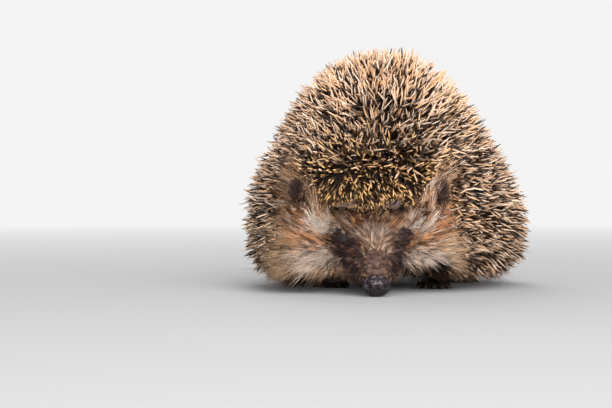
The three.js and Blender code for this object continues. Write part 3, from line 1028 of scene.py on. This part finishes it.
def face_length(p):
    """Short at the nose, on the legs and round the eyes."""
    m = to_side(p)
    length = np.interp(from_nose(p), (5, 10, 16, 24, 34, 50), (0.9, 1.4, 3.5, 6, 9, 12.5))
    length = length * (1 - 0.45 * spot(m, (17, -28, 26), (6, 6, 9))) + 3 * spot(m, (33, -20, 42), (10, 10, 8))
    length = length + 2.5 * forehead(p)
    length = np.where(leg_field(p.astype(np.float32), FORE) < 1, 1.5, length)
    return np.minimum(length, np.interp(size(m - EYE), (3.5, 8), (2.4, 12)))


def forehead(p):
    """1 on the forehead, where the hair is fine and lies flat."""
    return spot(to_head(p), *FOREHEAD)


def face_lift(p):
    """How far hair stands off the skin, most where it hangs from the cheeks' lower side."""
    hanging = (1 - smooth(7, 14, p[:, 2])) * smooth(-42, -34, to_head(p)[:, 1])
    lift = np.interp(from_nose(p), (0, 15, 35, 60), (0.3, 0.4, 0.55, 0.6))
    return lift * (1 - 0.7 * forehead(p)) + 1.4 * hanging


def throat_density(p):
    """The low skin between the cheeks, from behind the nose to the chest."""
    q = to_head(p)
    return (p[..., 2] < 18) * (np.abs(q[..., 0]) < 24) * (q[..., 1] > -36) * (q[..., 1] < 12) * 1.0


def throat_flow(p):
    return np.tile((0, 0.3, -1.0), (len(p), 1))


def skirt_density(p):
    """The flanks and the belly below the spines."""
    q = to_head(p)
    return (mantle_edge(q) < 1.5) * (q[..., 1] >= 2) * np.where(p[..., 2] < 7, 0.4, 1.0)


def skirt_flow(p):
    outward = unit(p * (1, 1, 0))
    underside = (1 - smooth(4, 9, p[..., 2]))[..., None]
    return 0.5 * outward + np.array((0, 0.5, -1.0)) * (1 - underside) + np.array((0, 1.0, 0)) * underside


def skirt_length(p):
    limb = np.minimum(leg_field(p.astype(np.float32), FORE), leg_field(p.astype(np.float32), HIND))
    return np.where(limb < 1, np.interp(p[:, 2], (2, 12), (1.2, 3.5)), np.interp(p[:, 2], (4, 12), (7, 15)))


def flat(value):
    return lambda p: np.full(len(p), float(value))


FACE = dict(density=face_density, flow=face_flow, lift=face_lift, length=face_length, middle=HEAD_MIDDLE)
LOCKS = FACE | dict(density=locks_density)
THROAT = dict(density=throat_density, flow=throat_flow, lift=flat(2.5), length=flat(15), middle=HEAD_MIDDLE)
SKIRT = dict(density=skirt_density, flow=skirt_flow, lift=flat(0), length=skirt_length, middle=BODY_MIDDLE)
UNDER = dict(each=4, width=1.1, profile=SHORT_HAIR)
OVER = dict(profile=LONG_HAIR, longer=1.4, wander=0.5)
LONG = dict(each=7, width=0.7, profile=LONG_HAIR, longer=1.7, wander=0.6, contrast=0.6)
# A layer's shade is painted light or shade: below 1 the undercoats and the throat's fur are darkened as painted
# shade, above 1 the upper layers are lightened as painted light.
FUR_LAYERS = (
    ("face_under", FACE, UNDER | dict(tufts=6000, girth=0.5, shade=0.75, longer=0.75)),
    ("face_over", FACE, OVER | dict(tufts=3100, each=13, width=1.3, girth=0.33, shade=1.75,
                                    raised=0.15, contrast=0.55, streaks=0.15, blur=1.3)),
    ("face_locks", LOCKS, LONG | dict(tufts=850, girth=0.38, shade=2.0, raised=0.35, streaks=0.3, blur=1.8)),
    ("throat", THROAT, dict(tufts=400, each=5, width=1.3, girth=0.6, shade=0.5, profile=SHORT_HAIR, wander=0.5)),
    ("skirt_under", SKIRT, UNDER | dict(tufts=3500, girth=0.55, shade=0.6, raised=0.45)),
    ("skirt_over", SKIRT, OVER | dict(tufts=1700, each=8, width=1.6, girth=0.36, shade=1.8,
                                      raised=0.6, contrast=0.6, streaks=0.2, blur=1.0)),
    ("skirt_locks", SKIRT, LONG | dict(tufts=350, girth=0.4, shade=2.2, raised=0.8, streaks=0.2, blur=1.0)),
)


def make_ear_fur(ear, word, side):
    root = from_head(np.array(EAR) * (side, 1, 1) - (0, 0, EAR_HEIGHT / 2))

    def length(p):
        return np.interp(size(p - root) / EAR_HEIGHT, (0, 0.7, 1), (5, 1.8, 2.2))

    make_fur(ear, f"ear_fur_{word}", flat(1), lambda p: p - root, flat(0.3), length, HEAD_MIDDLE, tufts=700,
             each=3, width=0.5, girth=0.26, shade=1.1, profile=SHORT_HAIR, indoors=False)


WHISKERS = 11
WHISKER_GIRTH = 0.2
WHISKER_PROFILE = ((0, 1), (0.25, 0.9), (0.5, 0.7), (0.75, 0.45), (1, 0))


def make_whiskers(skin):
    """Stiff dark hairs from both sides of the muzzle, swept outward and back."""
    points, _, normals = skin
    roots, aims = [], []
    for i in range(2 * WHISKERS):
        side = 1 if i % 2 else -1
        wanted = from_head((side * rng.uniform(8, 13), rng.uniform(-45, -37), rng.uniform(7, 15)))
        nearest = size(points - wanted).argmin()
        roots.append(points[nearest])
        swept = turned(np.array((side * 1.0, rng.uniform(-0.1, 0.5), rng.uniform(-0.35, 0.25))), HEAD_TURN)
        aims.append(unit(swept + 0.5 * normals[nearest]))
    count = len(roots)
    curls = np.array((0, 0.25, -0.12)) + 0.05 * rng.normal(size=(count, 3))
    tints = np.tile(DARK, (count, len(WHISKER_PROFILE), 1)) * rng.uniform(0.5, 2.2, (count, 1, 1))
    lengths = rng.uniform(11, 19, count)
    whiskers = strands("whiskers", np.array(roots, float), np.array(aims), curls, lengths,
                       np.full(count, WHISKER_GIRTH), tints, WHISKER_PROFILE, HAIR_SIDES, HEAD_MIDDLE)
    finish_piece(whiskers, FUR, "fur")


# ------------ nose, eyes and claws
NOSTRIL = (4.4, -51.0, 4.8), NOSTRIL_RADIUS, (7.3, -47.4, 6.6), 0.4
GROOVE = (0, -52.3, 7.0), 0.25, (0, -51.0, 0.5), 0.4
NOSE_RIM, NOSE_FINE = 0.6, 0.24
PEBBLE, PEBBLE_DEPTH = 1.0, 0.14
CLAW_ROOT, CLAW_SIDES = 1.2, 8
CLAW_PROFILE = ((0, 1), (0.3, 0.95), (0.6, 0.7), (0.85, 0.35), (1, 0))


def nose_field(p):
    q = to_head(p)
    m = folded(q)
    d = ellipsoid(m, (NOSE, NOSE_RADII))
    d = carve(d, taper(m, *NOSTRIL), NOSE_RIM)
    d = carve(d, taper(m, *GROOVE), NOSE_RIM)
    d = d + PEBBLE_DEPTH * (1 - 2 * np.abs(noise(q, PEBBLE, 50)))
    return np.maximum(d, -p[..., 2])


def make_nose():
    low, high = (np.array(c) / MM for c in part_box("nose"))
    axes = [np.arange(a - 0.9, b + 0.9, NOSE_FINE) for a, b in zip(low, high)]
    points, faces = surface(nose_field, axes)
    q = to_head(points.astype(float))
    # Lilac speckles on the top of the nose: partly the leather's own lilac tone, partly painted highlight.
    speckle = smooth(0.1, 0.7, noise(q, 1.1, 55) + 0.5 * noise(q, 0.5, 56)) * smooth(3, 8, q[:, 2])
    colour = lay(np.broadcast_to(NOSE_DARK, q.shape), LILAC, 0.6 * speckle)
    finish_piece(new_object("nose_pad", points, faces, colour), NOSE_LEATHER, "nose_leather", "nose")


def make_eye(word, side):
    ball, faces = quad_ball(EYE_FINE)
    points = from_head(EYE * (side, 1, 1)) + ball * EYE_RADIUS
    colour = np.broadcast_to(EYE_BLACK, points.shape)
    finish_piece(new_object(f"eyeball_{word}", points, faces, colour), EYE_GLOSS, "eye", f"eye_{word}")


def make_claws():
    """The claws of all toes in one piece, each sunk a little into its toe."""
    claws = [(end, tip) for leg in (FORE, HIND) for _, end, tip in toes(leg)]
    ends, tips = np.array([np.multiply(claw, (side, 1, 1)) for claw in claws for side in (1, -1)]).swapaxes(0, 1)
    aims, count = unit(tips - ends), len(ends)
    curls = np.tile((0, 0, -0.08), (count, 1))
    shades = np.linspace(0.6, 1.1, len(CLAW_PROFILE))[:, None]
    tints = np.tile(CLAW_HORN, (count, len(CLAW_PROFILE), 1)) * shades
    made = strands("claws", ends - CLAW_ROOT * aims, aims, curls, size(tips - ends) + CLAW_ROOT,
                   np.full(count, 2 * CLAW_RADIUS), tints, CLAW_PROFILE, CLAW_SIDES, BODY_MIDDLE)
    finish_piece(made, CLAWS, "claw")


SIDES = (("left", 1), ("right", -1))
body, ears = make_skin()
make_spines(body)
for name, where, how in FUR_LAYERS:
    make_fur(body, name, **where, **how)
for ear, (word, side) in zip(ears, SIDES):
    make_ear_fur(ear, word, side)
make_whiskers(body)
make_nose()
for word, side in SIDES:
    make_eye(word, side)
make_claws()


# ------------ floor, light and camera
def place_camera():
    right, forward, _ = turned(np.eye(3), CAMERA_AZIMUTH)
    place = np.array(NOSE_ON_FLOOR) - forward * CAMERA_DISTANCE - right * NOSE_RIGHT_OF_AXIS
    place[2] = CAMERA_HEIGHT
    data = bpy.data.cameras.new("camera")
    data.sensor_width = SENSOR
    data.lens = FOCAL_PX * SENSOR / FRAME_WIDTH
    data.clip_start, data.clip_end = 0.01, 50
    camera = bpy.data.objects.new("camera", data)
    camera.location = Vector(place * MM)
    down = math.atan((FRAME_HEIGHT / 2 - HORIZON_PX) / FOCAL_PX)
    camera.rotation_euler = (math.pi / 2 - down, 0, CAMERA_AZIMUTH)
    bpy.context.scene.collection.objects.link(camera)
    bpy.context.scene.camera = camera


FLOOR_GREY = (0.4, 0.4, 0.41, 1)
BACKGROUND = (0.9, 0.9, 0.9, 1)
FLOOR_HALF, FLOOR_RADIUS, FLOOR_FADE = 4000, 600, 600


def make_floor():
    """A pale floor that turns into the plain background at its edge."""
    corners = FLOOR_HALF * np.array([(-1, -1, 0), (1, -1, 0), (1, 1, 0), (-1, 1, 0)], float)
    floor = new_object("floor", corners, np.array([(0, 1, 2, 3)]))
    material = bpy.data.materials.new("floor")
    tree = tree_of(material)
    shader = fill(tree.nodes["Principled BSDF"],
                  {"Base Color": FLOOR_GREY, "Roughness": 0.7, "Specular IOR Level": 0.15}).outputs["BSDF"]
    where = add_node(tree, "TexCoord", "Object")
    far = add_node(tree, "VectorMath", "Value", {0: where}, operation="LENGTH")
    ends = {"From Min": (FLOOR_RADIUS - FLOOR_FADE) * MM, "From Max": (FLOOR_RADIUS + FLOOR_FADE) * MM}
    fade = add_node(tree, "MapRange", "Result", {"Value": far} | ends)
    beyond = add_node(tree, "Emission", "Emission", {"Color": BACKGROUND})
    edge = add_node(tree, "MixShader", "Shader", {"Fac": fade, 1: shader, 2: beyond})
    fill(tree.nodes["Material Output"], {"Surface": edge})
    floor.data.materials.append(material)
    floor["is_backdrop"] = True


WORLD_LIGHT = 0.5
LIGHT_TARGET = (0, -20, 50)
# Each light's name, place, width and power in watts.
LIGHTS = (
    ("key", (700, -850, 900), 1000, 9),
    ("top", (150, -100, 1300), 1000, 8),
    ("fill", (300, -1300, 300), 500, 15),
    ("back", (-300, 900, 900), 600, 5),
)


def make_lights():
    """A plain white studio. The background looks brighter than the light it gives."""
    world = bpy.data.worlds.new("studio")
    bpy.context.scene.world = world
    tree = tree_of(world)
    seen_sky = fill(tree.nodes["Background"], {"Color": BACKGROUND}).outputs["Background"]
    light_sky = add_node(tree, "Background", "Background", {"Strength": WORLD_LIGHT})
    camera_ray = add_node(tree, "LightPath", "Is Camera Ray")
    chosen = add_node(tree, "MixShader", "Shader", {"Fac": camera_ray, 1: light_sky, 2: seen_sky})
    fill(tree.nodes["World Output"], {"Surface": chosen})
    for name, place, width, power in LIGHTS:
        data = bpy.data.lights.new(name, "AREA")
        data.energy, data.size = power, width * MM
        light = bpy.data.objects.new(name, data)
        light.location = Vector(place) * MM
        towards = Vector(LIGHT_TARGET) * MM - light.location
        light.rotation_euler = towards.to_track_quat("-Z", "Y").to_euler()
        bpy.context.scene.collection.objects.link(light)


place_camera()
make_floor()
make_lights()
bpy.context.scene.view_settings.view_transform = "Standard"

boxes = {"cad": CAD_BOX, "visual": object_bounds()}
{k: [[float(x) for x in corner] for corner in box] for k, box in boxes.items()}
